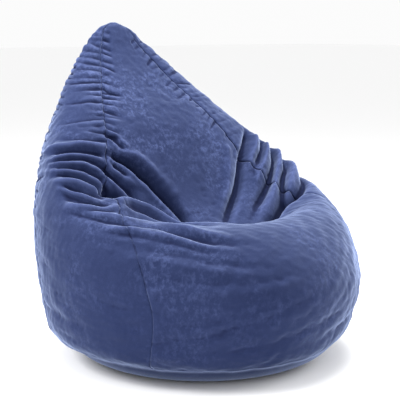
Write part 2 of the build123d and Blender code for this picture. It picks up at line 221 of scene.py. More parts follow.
# Folds: (depth, width, route).  Depth is positive for a valley and negative for a ridge, both in
# millimetres; the route is angle and share down the bag.  Most routes of the first five groups are the
# photographed folds, turned into angle and share by a helper program.  The last two groups are listed
# one by one, and so are all depths and widths.
FOLDS = (
    # the sitter's dimple, behind the rolled rim of the seat, and the crease round its near side
    (16, 50, ((-6, 0.53), (4, 0.54), (16, 0.53), (32, 0.52))),
    (32, 13, ((-50, 0.488), (-43, 0.463), (-36, 0.455), (-28, 0.455), (-21, 0.467), (-15, 0.495),
              (-8, 0.545), (8, 0.545), (18, 0.533), (28, 0.527), (38, 0.525), (44, 0.537), (52, 0.547),
              (62, 0.556))),
    (-30, 20, ((-48, 0.515), (-40, 0.492), (-34, 0.482), (-28, 0.482), (-23, 0.492), (-20, 0.515),
               (-18, 0.545), (-13, 0.575), (-4, 0.59))),
    (-17, 26, ((-50, 0.54), (-43, 0.522), (-36, 0.518), (-30, 0.53), (-26, 0.56), (-20, 0.59))),
    # long folds that run from the near seam down into the dimple
    (-10, 13, ((-99, 0.38), (-87, 0.352), (-67, 0.335), (-50, 0.324), (-38, 0.33), (-30, 0.338),
               (-20, 0.346), (-13, 0.372), (-7, 0.41), (-2, 0.445))),
    (36, 15, ((-34, 0.345), (-27, 0.356), (-22, 0.368), (-18, 0.384), (-14, 0.402), (-11, 0.422),
              (-8, 0.444), (-6, 0.47), (-6, 0.505), (-6, 0.54))),
    (-12, 11, ((-35, 0.348), (-29, 0.372), (-25, 0.39), (-21, 0.41), (-17, 0.432), (-14, 0.458),
               (-12, 0.482), (-10, 0.51))),
    (13, 8, ((-33, 0.372), (-29, 0.386), (-26, 0.4))),
    (-8, 7, ((-38, 0.37), (-34, 0.386), (-29, 0.4), (-25, 0.412), (-21, 0.425))),
    (18, 9, ((-39, 0.384), (-35, 0.4), (-31, 0.417), (-27, 0.432), (-23, 0.447))),
    (-9, 8, ((-40, 0.414), (-36, 0.43), (-32, 0.444), (-28, 0.456), (-24, 0.466))),
    (22, 10, ((-42, 0.436), (-39, 0.452), (-34, 0.461), (-29, 0.466))),
    (-7, 7, ((-36, 0.28), (-31, 0.29), (-26, 0.31), (-22, 0.33))),
    (9, 8, ((-36, 0.29), (-31, 0.302), (-27, 0.32), (-24, 0.335))),
    (-7, 7, ((-36, 0.302), (-32, 0.316), (-28, 0.33))),
    # folds on the far side of the backrest
    (-9, 15, ((30, 0.345), (24, 0.395), (18, 0.435), (8, 0.475))),
    (26, 11, ((66, 0.335), (50, 0.36), (40, 0.384), (32, 0.412), (25, 0.44), (12, 0.48), (2, 0.515))),
    (-12, 12, ((74, 0.36), (56, 0.385), (43, 0.405), (35, 0.43))),
    (14, 8, ((78, 0.4), (64, 0.408), (52, 0.42), (43, 0.43))),
    (-12, 11, ((80, 0.425), (66, 0.432), (54, 0.44), (42, 0.452), (30, 0.47))),
    (28, 10, ((88, 0.455), (72, 0.462), (60, 0.47), (50, 0.476), (40, 0.484), (29, 0.492), (18, 0.506))),
    (-12, 11, ((86, 0.485), (70, 0.487), (58, 0.487), (48, 0.494), (38, 0.503), (28, 0.511))),
    (26, 10, ((84, 0.512), (68, 0.51), (54, 0.504), (46, 0.512), (39, 0.521), (32, 0.524), (22, 0.528),
              (14, 0.538))),
    (-12, 13, ((84, 0.535), (66, 0.532), (54, 0.526), (46, 0.532))),
    (24, 10, ((86, 0.566), (72, 0.56), (62, 0.555), (50, 0.545), (42, 0.537), (36, 0.53))),
    # arched folds on the side gore, gathered towards the end of the crease
    (11, 8, ((-39, 0.356), (-46, 0.347), (-56, 0.349), (-70, 0.358), (-82, 0.372), (-96, 0.396))),
    (-7, 8, ((-39, 0.368), (-44, 0.36), (-52, 0.357), (-62, 0.364), (-79, 0.398), (-99, 0.46))),
    (11, 8, ((-39, 0.388), (-44, 0.377), (-52, 0.372), (-62, 0.38), (-79, 0.418), (-98, 0.474))),
    (-7, 8, ((-40, 0.41), (-45, 0.396), (-53, 0.39), (-62, 0.4), (-81, 0.444), (-98, 0.482))),
    (11, 8, ((-41, 0.426), (-46, 0.415), (-53, 0.41), (-63, 0.42), (-81, 0.468), (-98, 0.49))),
    (-8, 8, ((-42, 0.446), (-47, 0.436), (-55, 0.436), (-67, 0.455), (-80, 0.481), (-97, 0.496))),
    (14, 8, ((-45, 0.466), (-51, 0.456), (-59, 0.46), (-70, 0.477), (-80, 0.495), (-91, 0.511))),
    (-10, 9, ((-46, 0.494), (-50, 0.486), (-55, 0.482), (-62, 0.488), (-71, 0.503), (-82, 0.52),
              (-93, 0.53))),
    (15, 8, ((-53, 0.5), (-61, 0.508), (-70, 0.52), (-82, 0.532))),
    (-7, 7, ((-53, 0.514), (-60, 0.525), (-67, 0.531), (-78, 0.538), (-91, 0.544))),
    (13, 8, ((-52, 0.518), (-62, 0.538), (-72, 0.544), (-84, 0.552))),
    # the lower folds that wrap the rim
    (10, 9, ((-49, 0.516), (-60, 0.54), (-74, 0.557), (-84, 0.56))),
    (-7, 8, ((-49, 0.526), (-56, 0.546), (-64, 0.561), (-74, 0.569), (-81, 0.567))),
    (9, 8, ((-50, 0.542), (-58, 0.558), (-66, 0.573), (-76, 0.579))),
    (6, 8, ((-49, 0.552), (-43, 0.546), (-38, 0.54))),
    (-9, 11, ((-80, 0.58), (-69, 0.579), (-58, 0.576), (-50, 0.57), (-42, 0.564), (-36, 0.568),
              (-32, 0.586), (-28, 0.612), (-21, 0.632), (-13, 0.643))),
    (12, 12, ((-80, 0.588), (-66, 0.589), (-56, 0.591), (-47, 0.59), (-40, 0.594), (-35, 0.612),
              (-29, 0.636), (-21, 0.652), (-10, 0.664))),
    (-6, 11, ((-60, 0.612), (-52, 0.612), (-46, 0.62), (-39, 0.63), (-34, 0.645), (-26, 0.662))),
    (7, 11, ((-62, 0.622), (-52, 0.624), (-44, 0.636), (-38, 0.646), (-31, 0.664), (-23, 0.68))),
    (5, 13, ((-66, 0.645), (-54, 0.655), (-42, 0.668), (-32, 0.69), (-20, 0.712), (-4, 0.73))),
    (-4, 12, ((-58, 0.672), (-46, 0.684), (-34, 0.706), (-20, 0.728))),
    # faint drag lines low on the body
    (3, 12, ((-74, 0.762), (-62, 0.785), (-48, 0.8), (-34, 0.806))),
    (3, 12, ((-62, 0.832), (-42, 0.826), (-25, 0.815), (-8, 0.795))),
    (4, 12, ((-60, 0.866), (-38, 0.856), (-24, 0.84), (-8, 0.815), (6, 0.785))),
    (3, 12, ((-34, 0.903), (-12, 0.888), (6, 0.868), (24, 0.84))),
    (-3, 13, ((-56, 0.74), (-36, 0.762), (-18, 0.768), (0, 0.755))),
    (3, 11, ((-48, 0.72), (-32, 0.742), (-16, 0.75), (4, 0.74))),
    (3, 12, ((10, 0.905), (28, 0.885), (42, 0.855))),
    (3, 12, ((60, 0.7), (74, 0.74), (92, 0.76))),
    (3, 12, ((64, 0.8), (84, 0.822), (104, 0.826))),
    (3, 13, ((-120, 0.8), (-104, 0.82), (-86, 0.818))),
    (3, 13, ((-150, 0.86), (-132, 0.874), (-112, 0.868))),
    (3, 13, ((118, 0.85), (138, 0.87), (158, 0.866))),
    # shallow folds across the back panels, clear of the zip
    (6, 12, ((-134, 0.255), (-146, 0.262), (-160, 0.25))),
    (-5, 12, ((-136, 0.318), (-148, 0.314), (-158, 0.3))),
    (7, 12, ((-132, 0.418), (-146, 0.414), (-160, 0.396))),
    (6, 12, ((106, 0.235), (122, 0.232), (142, 0.242), (158, 0.236))),
    (7, 12, ((104, 0.33), (120, 0.342), (140, 0.345), (156, 0.336))),
    (-5, 12, ((108, 0.385), (126, 0.402), (146, 0.405))),
    (7, 13, ((110, 0.47), (130, 0.486), (152, 0.488))),
)
FOLD_SAMPLES = 160
FOLD_SHARPNESS = 1.6    # 2 is a round valley, 1 a sharp one
FOLD_REACH = 3          # widths from its route at which a fold is taken to have ended
FOLD_START = 0.16       # share of a fold's length over which it deepens at its first point
FOLD_START_DEPTH = 0.4  # how far that deepening has come at the point itself
FOLD_TAIL = 0.28        # share of its length over which it dies away at its last point
FOLD_TAIL_DEPTH = 0.1   # what is left of it there


def eased(value):
    """0 below 0, 1 above 1, and a smooth step between."""
    value = np.clip(value, 0, 1)
    return value * value * (3 - 2 * value)


def fold_route(route):
    """Even samples along a fold as 3-D points of the filled shape, and how far along each lies."""
    knots = np.linspace(0, 1, len(route))
    at = np.linspace(0, 1, FOLD_SAMPLES)
    angles = monotone(knots, np.array([p[0] for p in route], float), at)
    shares = monotone(knots, np.array([p[1] for p in route], float), at)
    return bag_point(angles, shares), at


def nearest_sample(points, line):
    """Index of the nearest sample of the line to each point, and how far away it is."""
    nearest = np.zeros(len(points), int)
    shortest = np.full(len(points), np.inf)
    for index, sample in enumerate(line):
        gap = np.linalg.norm(points - sample, axis=1)
        closer = gap < shortest
        nearest[closer] = index
        shortest[closer] = gap[closer]
    return nearest, shortest


def fold_depths(grid, folds):
    """How far each grid point sinks for all the folds, in metres."""
    depth = np.zeros(grid.shape[:2])
    flat = grid.reshape(-1, 3)
    total = depth.reshape(-1)
    for deep, width, route in folds:
        line, along = fold_route(route)
        reach = FOLD_REACH * width * MM
        inside = np.all((flat > line.min(0) - reach) & (flat < line.max(0) + reach), 1)
        chosen = np.nonzero(inside)[0]
        if not len(chosen):
            continue
        nearest, gap = nearest_sample(flat[chosen], line)
        gap /= width * MM
        starting = eased(along[nearest] / FOLD_START + FOLD_START_DEPTH)
        ending = eased((1 - along[nearest]) / FOLD_TAIL + FOLD_TAIL_DEPTH)
        total[chosen] += deep * MM * (starting * ending) * np.exp(-gap ** FOLD_SHARPNESS)
    return depth


# ---------- Cloth simulation
SIM_FRAMES = 24
SLACK = 0.05            # how much larger than the filled shape the slack fabric was cut
TIGHT_HOLD = 0.45       # how firmly the beads hold filled fabric in place, and slack fabric
LOOSE_HOLD = 0.06
SEAM_HOLD = 0.6
ZIP_HOLD_ANGLE = 168    # the fabric past this angle is pinned beside the zip
BACKREST_FACE = 34      # half-width in degrees of the backrest's face, which the beads keep smooth
SLACK_END = 0.62        # share down the bag below which the beads fill the fabric
SLACK_FADE = 0.10
TIP_FADE = 0.05         # share down the bag over which the slack grows from the tip
BACK_START = 100        # angle behind which the fabric lies smoother, and how soon, and how much
BACK_FADE = 40
BACK_SMOOTHING = 0.75
LEAST_SLACK = 0.12


def grid_faces(rows, columns, closed=True):
    """Quads between the points of a grid, which may close on itself across its columns."""
    index = np.arange(rows * columns).reshape(rows, columns)
    right = np.roll(index, -1, 1) if closed else index[:, 1:]
    left = index if closed else index[:, :-1]
    return np.stack([left[:-1], left[1:], right[1:], right[:-1]], -1).reshape(-1, 4)


def linked(name, data):
    """New object in the scene with this data."""
    made = bpy.data.objects.new(name, data)
    bpy.context.scene.collection.objects.link(made)
    return made


def mesh_of(name, points, faces):
    """New object in the scene with this mesh."""
    mesh = bpy.data.meshes.new(name)
    mesh.from_pydata(points.reshape(-1, 3).tolist(), [], faces)
    mesh.update()
    return linked(name, mesh)


def slot_share(height):
    """1 beside the zip's slot, 0 above and below it, with short rounded ends."""
    height = height / MM
    from_low = np.clip((height - SLOT_LOW) / SLOT_END, 0, 1)
    from_high = np.clip((SLOT_HIGH - height) / SLOT_END, 0, 1)
    return np.sqrt(from_low * from_high)


def slackness(angles, shares):
    """1 where the beads leave the fabric slack, 0 where they fill it."""
    share = shares[:, None]
    upper = np.clip((SLACK_END - share) / SLACK_FADE, 0, 1)
    tip = np.clip(share / TIP_FADE, 0, 1)
    behind = np.clip((np.abs(angles) - BACK_START) / BACK_FADE, 0, 1)
    face = np.clip(np.abs(angles) / BACKREST_FACE, 0, 1)
    return upper * tip * face * (1 - BACK_SMOOTHING * behind) + LEAST_SLACK


def weigh(cloth, group, weights):
    """A vertex group of the cloth with these weights."""
    made = cloth.vertex_groups.new(name=group)
    for index, weight in enumerate(weights.ravel()):
        made.add([index], float(weight), "REPLACE")


def cloth_settings(modifier):
    """Soft, well damped fabric, pressed lightly from inside by the beads."""
    settings = modifier.settings
    settings.quality = 6
    settings.mass = 0.4
    settings.tension_stiffness = 20
    settings.compression_stiffness = 20
    settings.shear_stiffness = 8
    settings.bending_stiffness = 0.6
    settings.tension_damping = settings.compression_damping = settings.shear_damping = 10
    settings.air_damping = 2
    settings.vertex_group_mass = "held"
    settings.pin_stiffness = 1.0
    settings.vertex_group_shrink = "loose"
    settings.shrink_min = 0.0
    settings.shrink_max = -SLACK
    settings.use_pressure = True
    settings.uniform_pressure_force = 2.0
    settings.effector_weights.gravity = 0
    modifier.collision_settings.use_collision = False
    modifier.point_cache.frame_end = SIM_FRAMES


def relaxed(grid, angles, shares, seams):
    """The grid after the slack fabric has settled over the beads."""
    rows, columns = grid.shape[:2]
    cloth = mesh_of("settling", grid, grid_faces(rows, columns).tolist())
    slack = np.clip(slackness(angles, shares), 0, 1)
    hold = TIGHT_HOLD + (LOOSE_HOLD - TIGHT_HOLD) * slack
    hold[[0, -1]] = 1.0
    hold[slot_share(grid[..., 2]) * (np.abs(angles) > ZIP_HOLD_ANGLE) > 0] = 1.0
    for seam in seams:
        hold[:, seam] = np.maximum(hold[:, seam], SEAM_HOLD)
    weigh(cloth, "held", hold)
    weigh(cloth, "loose", slack)
    cloth_settings(cloth.modifiers.new("settle", "CLOTH"))
    for step in range(1, SIM_FRAMES + 1):
        bpy.context.scene.frame_set(step)
    settled = cloth.evaluated_get(bpy.context.evaluated_depsgraph_get()).data
    found = np.empty(rows * columns * 3)
    settled.vertices.foreach_get("co", found)
    bpy.data.objects.remove(cloth)
    bpy.context.scene.frame_set(1)
    return found.reshape(rows, columns, 3)


def doubled(field, axis, closed):
    """Field with a smoothly interpolated value put between neighbours along an axis."""
    field = np.moveaxis(field, axis, 0)
    if closed:
        padded = np.concatenate([field[-1:], field, field[:2]])
    else:
        first = 2 * field[:1] - field[1:2]
        last = 2 * field[-1:] - field[-2:-1]
        padded = np.concatenate([first, field, last])
    # the cubic through four even samples, halfway between the middle two
    middle = (9 * (padded[1:-2] + padded[2:-1]) - padded[:-3] - padded[3:]) / 16
    count = len(field) * 2 if closed else len(field) * 2 - 1
    out = np.empty((count,) + field.shape[1:])
    out[0::2] = field
    out[1::2] = middle
    return np.moveaxis(out, 0, axis)


def fine(field):
    """Closed grid made twice as fine both ways."""
    return doubled(doubled(field, 0, False), 1, True)


# ---------- Puckers and seams
# A row of gathers along one side of a seam: shares down the seam between which they lie, spacing,
# depth, length and width in millimetres, how far they lean down per unit of distance from the seam,
# and the fine columns that they may reach across.
Gathers = namedtuple("Gathers", "first last spacing depth length width lean columns")
SIDE_GATHERS = (        # long and arched, on the side panels
    Gathers(0.03, 0.33, 25, 7.5, 80, 7.5, 0.02, 64),
    Gathers(0.33, 0.52, 21, 3.0, 50, 6.0, 0.1, 40),
)
SEAT_GATHERS = (        # shorter, and leaning down across the seat
    Gathers(0.04, 0.30, 25, 9.0, 52, 7.5, 0.42, 50),
    Gathers(0.30, 0.50, 21, 3.0, 40, 5.0, 0.8, 40),
)
LOW_GATHERS = (Gathers(0.56, 0.98, 30, 1.8, 30, 8.0, 0.0, 24),)
REAR_GATHERS = (
    Gathers(0.03, 0.60, 25, 6.0, 55, 7.5, 0.0, 34),
    Gathers(0.60, 0.98, 32, 2.2, 35, 8.0, 0.0, 24),
)
BACK_GATHERS = (        # above and below the zip
    Gathers(0.03, 0.32, 27, 4.0, 40, 7.5, 0.0, 24),
    Gathers(0.72, 0.98, 30, 2.5, 35, 8.0, 0.0, 24),
)
FAR_SEAM_GATHERS = 0.55 # depth of the far front seam's gathers beside the near one's
GATHER_WIDTHS = (0.75, 1.3)     # how much single gathers vary, as shares of their row's values
GATHER_LENGTHS = (0.45, 1.35)
GATHER_DEPTHS = (0.45, 1.2)
GATHER_SPACINGS = (0.6, 1.4)
GATHER_LEAN = 0.12      # spread of their lean
GATHER_START = 0.02     # share down the seam over which a row of gathers begins
GATHER_FADE_COLUMNS = 14
STITCHED_DOWN = 0.8     # share of a gather that the stitching holds down at the seam, and how far
STITCHED_REACH = 5

GROOVE_DEPTH = 3.6
GROOVE_WIDTH = 3.6
GROOVE_COLUMNS = 8
LOW_SEAM_START = 0.50   # share down the bag below which the beads press the seams nearly flat
LOW_SEAM_RUN = 0.12
LOW_SEAM_FADE = 0.62


def seam_distance(grid, seam, step, count):
    """Columns beside a seam on one side, and each point's distance from it along its row."""
    columns = [(seam + step * k) % grid.shape[1] for k in range(count)]
    strip = grid[:, columns]
    gaps = np.linalg.norm(np.diff(strip, axis=1), axis=2)
    distance = np.concatenate([np.zeros((len(grid), 1)), np.cumsum(gaps, 1)], 1)
    return columns, distance


def pucker(depth, grid, seam, step, plan):
    """Adds a row of gathers on one side of a seam to the depth field."""
    columns, distance = seam_distance(grid, seam, step, plan.columns)
    length = np.concatenate([[0], np.cumsum(np.linalg.norm(np.diff(grid[:, seam], axis=0), axis=1))])
    rows = np.linspace(0, 1, len(grid))
    at = np.interp(plan.first, rows, length)
    end = np.interp(plan.last, rows, length)
    total = np.zeros_like(distance)
    last = eased((plan.columns - 1 - np.arange(plan.columns)) / GATHER_FADE_COLUMNS)
    sewn = 1 - STITCHED_DOWN * np.exp(-distance / (STITCHED_REACH * MM))
    while at < end:
        width = plan.width * MM * rng.uniform(*GATHER_WIDTHS)
        reach = plan.length * MM * rng.uniform(*GATHER_LENGTHS)
        deep = plan.depth * MM * rng.uniform(*GATHER_DEPTHS)
        lean = plan.lean + rng.normal(0, GATHER_LEAN)
        rng.random()            # a spare draw, kept so that every gather stays where it is
        centre = at + lean * distance
        fade = np.exp(-(distance / reach) ** 2) * sewn * last
        total += deep * fade * np.exp(-((length[:, None] - centre) / width) ** 2)
        at += plan.spacing * MM * rng.uniform(*GATHER_SPACINGS)
    edge = np.clip((rows[:, None] - plan.first) / GATHER_START, 0, 1)
    depth[:, columns] += total * edge


def add_gathers(depth, surface, seams):
    """Adds the gathers on both sides of every seam to the depth field."""
    middle_back, rear_right, near, far, rear_left = seams
    for seam, outer_side, share in ((near, -1, 1.0), (far, 1, FAR_SEAM_GATHERS)):
        for side, plans in ((outer_side, SIDE_GATHERS), (-outer_side, SEAT_GATHERS),
                            (outer_side, LOW_GATHERS), (-outer_side, LOW_GATHERS)):
            for plan in plans:
                pucker(depth, surface, seam, side, plan._replace(depth=plan.depth * share))
    for seam, plans in ((rear_right, REAR_GATHERS), (rear_left, REAR_GATHERS), (middle_back, BACK_GATHERS)):
        for side in (-1, 1):
            for plan in plans:
                pucker(depth, surface, seam, side, plan)


def seam_groove(depth, grid, seam):
    """Narrow valley where two gores are sewn together; the middle seam is flat beside the zip."""
    flat = slot_share(grid[:, seam, 2]) if seam == 0 else np.zeros(len(grid))
    low = eased((np.linspace(0, 1, len(grid)) - LOW_SEAM_START) / LOW_SEAM_RUN)
    strength = 1 - LOW_SEAM_FADE * low
    for step in (-1, 1):
        columns, distance = seam_distance(grid, seam, step, GROOVE_COLUMNS)
        valley = GROOVE_DEPTH * MM * np.exp(-distance / (GROOVE_WIDTH * MM))
        groove = valley * (1 - flat)[:, None] * strength[:, None]
        if step > 0:
            columns, groove = columns[1:], groove[:, 1:]
        depth[:, columns] += groove


ZIP_FLAT_HALF = 17      # the fabric lies flat this far from the middle of the zip
ZIP_FLAT_EASE = 30
ZIP_FLAT_ENDS = 14      # and this far beyond the ends of its slot


def loose_from_zip(grid):
    """0 where the zip's tapes hold the fabric flat, 1 away from them."""
    height = grid[..., 2] / MM
    beyond = np.maximum(SLOT_LOW - ZIP_FLAT_ENDS - height, height - SLOT_HIGH - ZIP_FLAT_ENDS)
    aside = np.abs(grid[..., 0]) / MM - ZIP_FLAT_HALF
    away = np.hypot(np.maximum(beyond, 0), np.maximum(aside, 0)) / ZIP_FLAT_EASE
    return np.where(grid[..., 1] > 0, eased(away), 1)


LUMP_DEPTH = 2.2
LUMP_SIZE = 75
LUMP_OCTAVES = 3
LUMP_WAVES = 5
LUMP_FINER = 1.9        # how many times smaller each octave is than the one before
LUMP_FAINTER = 1.6      # and how many times shallower
LUMP_LEAN = np.array([0.8, 0.8, 1.5])   # waves run more up and down the bag than round it
LUMP_SWAY = 1.4         # how far the crests wander, and how often
LUMP_SWAY_PACE = 1.3
LUMP_PHASES = 6.28      # radians
FOLD_AGAIN = 0.25       # share of the folds pressed in again after the fabric has settled


def lumps(grid):
    """Shallow unevenness of the beads under the fabric, in metres of depth."""
    total = np.zeros(grid.shape[:2])
    for octave in range(LUMP_OCTAVES):
        size = LUMP_SIZE * MM / LUMP_FINER ** octave
        for _ in range(LUMP_WAVES):
            direction = rng.normal(size=3)
            direction *= LUMP_LEAN
            direction /= np.linalg.norm(direction)
            along = grid @ direction / size * 2 * math.pi
            sideways = grid @ rng.normal(size=3) / size * LUMP_SWAY_PACE
            phase = along + LUMP_SWAY * np.sin(sideways) + rng.uniform(0, LUMP_PHASES)
            total += np.sin(phase) / LUMP_FAINTER ** octave
    return total / LUMP_WAVES * LUMP_DEPTH * MM


def widened(field, rounds):
    """Each value raised to the largest of its neighbours, closed across its columns."""
    for _ in range(rounds):
        field = np.maximum(field, np.maximum(np.roll(field, 1, 1), np.roll(field, -1, 1)))
        above, below = rows_beside(field)
        field = np.maximum(field, np.maximum(above, below))
    return field


def cover_surface():
    """Final outside of the cover on the fine grid, the seams' columns, the filled shape on the coarse
    grid, and how far the cover sinks below it there."""
    shares = np.linspace(0, 1, ROWS)
    angles, seams = angle_grid(shares)
    base = bag_point(angles, np.broadcast_to(shares[:, None], angles.shape))
    settled = base - outward_of(base) * fold_depths(base, FOLDS)[..., None]
    settled = relaxed(settled, angles, shares, seams)
    settled = smoothed(settled, 1)
    settled = base + (settled - base) * loose_from_zip(base)[..., None]
    full = fine(base)
    pressed = (FOLD_AGAIN * fold_depths(full, FOLDS) + lumps(full)) * loose_from_zip(full)
    surface = fine(settled) - outward_of(full) * pressed[..., None]
    seams = [FINER * seam for seam in seams]
    depth = np.zeros(surface.shape[:2])
    add_gathers(depth, surface, seams)
    for seam in seams:
        seam_groove(depth, surface, seam)
    ends = np.clip(np.linspace(0, 1, len(surface)) / GATHER_START, 0, 1)[:, None]
    surface = surface - outward_of(surface) * (depth * ends * loose_from_zip(surface))[..., None]
    sunk = ((full - surface) * outward_of(full)).sum(-1)
    return surface, seams, base, widened(sunk, FINER)[::FINER, ::FINER]


# ---------- Pieces
COVER_THICKNESS = 2.0
FOLD_MARGIN = 5         # rounds by which the cover's folds are widened before the inner layers follow
SEAM_SHELTER = 14       # how far from a seam its ridges are spared the paler colour of worn nap and painted highlight
VALLEY_ROOM = 1.5       # how much further the inside stands back under a valley, as a share of its depth
RIDGE_REACH = 5         # rounds of averaging that a point is compared with, to tell ridge from valley
RIDGE_FULL = 1.6        # height in millimetres above that average at which a ridge is fully paled, as worn nap and painted highlight
TIP_SHRINK = 0.55       # breadth of an inner layer's tip beside the filled shape's


def opened(points, side):
    """A back gore with its edge turned back from the zip; side is -1 on the right, 1 on the left."""
    moved = points.copy()
    ease = np.exp(-np.abs(points[..., 0]) / (SLOT_EASE * MM))
    moved[..., 0] += side * SLOT_HALF_WIDTH * MM * ease * slot_share(points[..., 2])
    return moved


def gore_cut(grid, seams, scale=1):
    """Each gore's name and its part of a closed grid, with both edges."""
    for (name, _, _, count), start in zip(GORES, seams):
        columns = np.arange(start, start + scale * count + 1) % grid.shape[1]
        part = grid[:, columns]
        if "back" in name and part.shape[-1] == 3:
            part = opened(part, 1 if name.endswith("left") else -1)
        yield name, part


def rim_of(rows, columns):
    """Grid points round the edge of an open grid, in order."""
    index = np.arange(rows * columns).reshape(rows, columns)
    return np.concatenate([index[0, :-1], index[:-1, -1], index[-1, :0:-1], index[:0:-1, 0]])


def shell(name, outer, inner):
    """Closed piece between two open grids; the outer one is as fine as the inner or twice as fine."""
    rows, columns = outer.shape[:2]
    count = rows * columns
    front = grid_faces(rows, columns, closed=False)
    back = grid_faces(*inner.shape[:2], closed=False)[:, ::-1] + count
    edge = rim_of(rows, columns)
    inner_edge = rim_of(*inner.shape[:2]) + count
    step = len(edge) // len(inner_edge)
    sides = []
    for k in range(len(inner_edge)):
        along = [edge[(step * k + j) % len(edge)] for j in range(step + 1)]
        sides.append(along + [inner_edge[(k + 1) % len(inner_edge)], inner_edge[k]])
    points = np.concatenate([outer.reshape(-1, 3), inner.reshape(-1, 3)])
    faces = front.tolist() + back.tolist() + [[int(v) for v in side] for side in sides]
    piece = mesh_of(name, points, faces)
    smooth = np.arange(len(faces)) < len(front) + len(back)
    piece.data.polygons.foreach_set("use_smooth", smooth)
    return piece


def seams_without_ridge_wear_and_highlight(ridge, surface, seams):
    """The ridges without their paler colour beside the seams, which are pressed in out of reach; that
    colour is worn nap and a painted highlight on the crests.
    """
    wear = np.ones(ridge.shape)
    for seam in seams:
        for step in (-1, 1):
            columns, distance = seam_distance(surface, seam, step, GROOVE_COLUMNS)
            wear[:, columns] = np.minimum(wear[:, columns], distance / (SEAM_SHELTER * MM))
    return np.where(ridge > 0, ridge * wear, ridge)


def gore_pieces(surface, seams, base, material):
    """The cover's five gores, each with how far its points stand above or below those around them."""
    outward = outward_of(surface)
    ridge = ((surface - smoothed(surface, RIDGE_REACH)) * outward).sum(-1) / (RIDGE_FULL * MM)
    valley = widened(np.maximum(-ridge, 0), FINER) * RIDGE_FULL * MM
    set_back = COVER_THICKNESS * MM + VALLEY_ROOM * valley
    inside = (surface - outward_of(fine(base)) * set_back[..., None])[::FINER, ::FINER]
    coarse = [seam // FINER for seam in seams]
    # the ridge attribute pales the cover's ridges as worn nap and painted highlight, and darkens its
    # valleys as painted shade
    lift = seams_without_ridge_wear_and_highlight(ridge, surface, seams)[..., None]
    cuts = zip(gore_cut(surface, seams, FINER), gore_cut(inside, coarse), gore_cut(lift, seams, FINER))
    for (name, outer), (_, inner), (_, worn) in cuts:
        piece = shell("visual_" + name, outer, inner)
        values = np.zeros(len(piece.data.vertices))
        values[:worn.size] = worn.ravel()
        piece.data.attributes.new("ridge", "FLOAT", "POINT").data.foreach_set("value", values)
        finish_soft(piece, name, material)


def inner_layer(base, sunk, depth):
    """Grid of an inner layer, which lies deeper wherever the cover folds inwards."""
    deepest = smoothed(widened(np.maximum(sunk, 0), FOLD_MARGIN), FOLD_MARGIN)
    ease = np.minimum(hoop_value(3, np.linspace(0, 1, ROWS)) / FULL_DEPTH_REACH, 1)[:, None]
    centre = base.mean(1, keepdims=True)
    layer = base - outward_of(base) * (ease * (depth * MM + deepest))[..., None]
    drawn = centre + (base - centre) * TIP_SHRINK - np.array([0, 0, depth * MM])
    return drawn + (layer - drawn) * np.minimum(ease ** 2, 1)[..., None]


def liner_pieces(base, sunk, seams, material):
    """The liner's five gores; returns the outside of them all as one grid."""
    outer = inner_layer(base, sunk, LINER_DEPTH)
    inner = inner_layer(base, sunk, LINER_DEPTH + LINER_THICKNESS)
    for (name, front), (_, back) in zip(gore_cut(outer, seams), gore_cut(inner, seams)):
        name = name.replace("cover_", "liner_")
        finish_soft(shell("visual_" + name, front, back), name, material)
    return outer


def fill_piece(base, sunk, material):
    """The beads as one closed body."""
    rings = list(inner_layer(base, sunk, FILL_DEPTH))
    rings += list(base_rings(rings[-1], FILL_DEPTH))[1:]
    rings = np.array(rings)
    rows, columns = rings.shape[:2]
    faces = grid_faces(rows, columns).tolist()
    faces.append(list(range(columns)))
    faces.append([(rows - 1) * columns + k for k in reversed(range(columns))])
    finish_soft(mesh_of("visual_bead_fill", rings, faces), "bead_fill", material)


def finish_soft(piece, node, material):
    """Material, slot and ride of a soft piece that takes the place of a CAD node."""
    piece.data.materials.append(material)
    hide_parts(node)
    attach(piece, "bag")


BASE_TURN_ROWS = 12
BASE_FLAT_SHARES = (0.93, 0.8, 0.6, 0.4, 0.2, 0.05)     # radii of the flat patch's rings
BASE_INSET = 0.99       # the inside of a base panel's seam beside its outside


def base_rings(ring, depth):
    """Rings from the base seam round the turn to near the middle, depth inside the base."""
    middle = np.array([0, BASE_Y * MM, 0])
    spread = (ring - middle) * np.array([1, 1, 0])
    spread /= np.linalg.norm(spread, axis=1, keepdims=True)
    steep = math.asin((BASE_SEAM - BASE_FLAT) / BASE_TURN)
    yield ring
    for turn in np.linspace(steep, 0, BASE_TURN_ROWS)[1:]:
        radius = BASE_FLAT + (BASE_TURN - depth) * math.sin(turn)
        height = BASE_TURN - (BASE_TURN - depth) * math.cos(turn)
        yield middle + spread * radius * MM + np.array([0, 0, height * MM])
    for share in BASE_FLAT_SHARES:
        yield middle + spread * BASE_FLAT * MM * share + np.array([0, 0, depth * MM])


def base_piece(name, ring, depth, thickness, material):
    """Round base panel between its seam and the floor, as a closed shell."""
    outer = np.array(list(base_rings(ring, depth)))
    inner_ring = ring * np.array([BASE_INSET, BASE_INSET, 1])
    inner = np.array(list(base_rings(inner_ring, depth + thickness)))
    rows, columns = outer.shape[:2]
    count = rows * columns
    front = grid_faces(rows, columns)
    top = np.arange(columns)
    following = np.roll(top, -1)
    rim = np.stack([following, top, top + count, following + count], -1)
    faces = np.concatenate([front, front[:, ::-1] + count, rim]).tolist()
    last = (rows - 1) * columns
    faces.append([last + k for k in reversed(range(columns))])
    faces.append([count + last + k for k in range(columns)])
    piece = mesh_of("visual_" + name, np.concatenate([outer, inner]), faces)
    piece.data.shade_smooth()
    finish_soft(piece, name, material)


